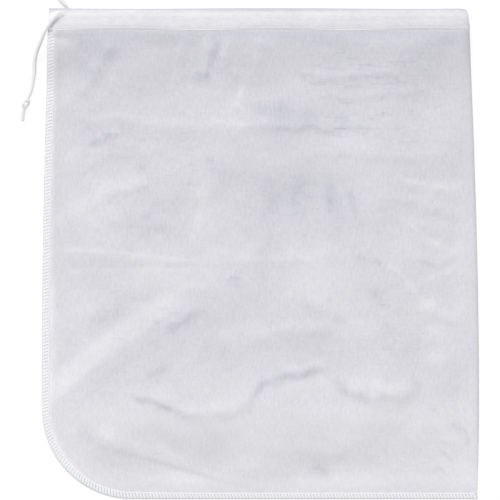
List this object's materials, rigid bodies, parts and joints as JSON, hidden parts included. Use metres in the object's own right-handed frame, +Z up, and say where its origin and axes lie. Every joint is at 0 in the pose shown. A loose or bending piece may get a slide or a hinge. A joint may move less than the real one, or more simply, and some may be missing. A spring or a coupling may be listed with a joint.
{
  "type": "mesh produce bag",
  "caption": "Flat drawstring mesh produce bag: a folded sheet of fine mesh, overlocked down one side and along the foot, with a corded casing round the mouth.",
  "frame": {"origin": "centre of the bag's outline on the surface it lies on, loose cord ends left out", "axes": "+X across the bag towards its folded side, +Y from the sewn foot to the mouth, +Z up out of the front layer"},
  "size_m": [0.3606, 0.3783, 0.014],
  "materials": {
    "mesh": "fine sheer white polyester mesh",
    "casing": "doubled white mesh, more opaque than the body",
    "thread": "white sewing thread",
    "cord": "soft white braided cord"
  },
  "bodies": {
    "bag": {"mesh_body": "mesh", "drawstring_casing": "casing", "casing_needle_thread": "thread", "casing_bobbin_thread": "thread", "overlock_needle_thread": "thread", "overlock_upper_looper_thread": "thread", "overlock_lower_looper_thread": "thread", "drawstring_fold_bend": "cord"},
    "front_drawstring": {"drawstring_front_run": "cord", "drawstring_front_tail": "cord", "front_end_knot": "cord", "front_end_stub": "cord"},
    "back_drawstring": {"drawstring_back_run": "cord", "drawstring_back_tail": "cord", "back_end_knot": "cord", "back_end_stub": "cord"}
  },
  "joints": [
    {"name": "front_drawstring_pull", "type": "slide", "parent": "bag", "child": "front_drawstring", "axis": [-1, 0, 0], "range_m": [0, 0.26]},
    {"name": "back_drawstring_pull", "type": "slide", "parent": "bag", "child": "back_drawstring", "axis": [-1, 0, 0], "range_m": [0, 0.25]}
  ]
}
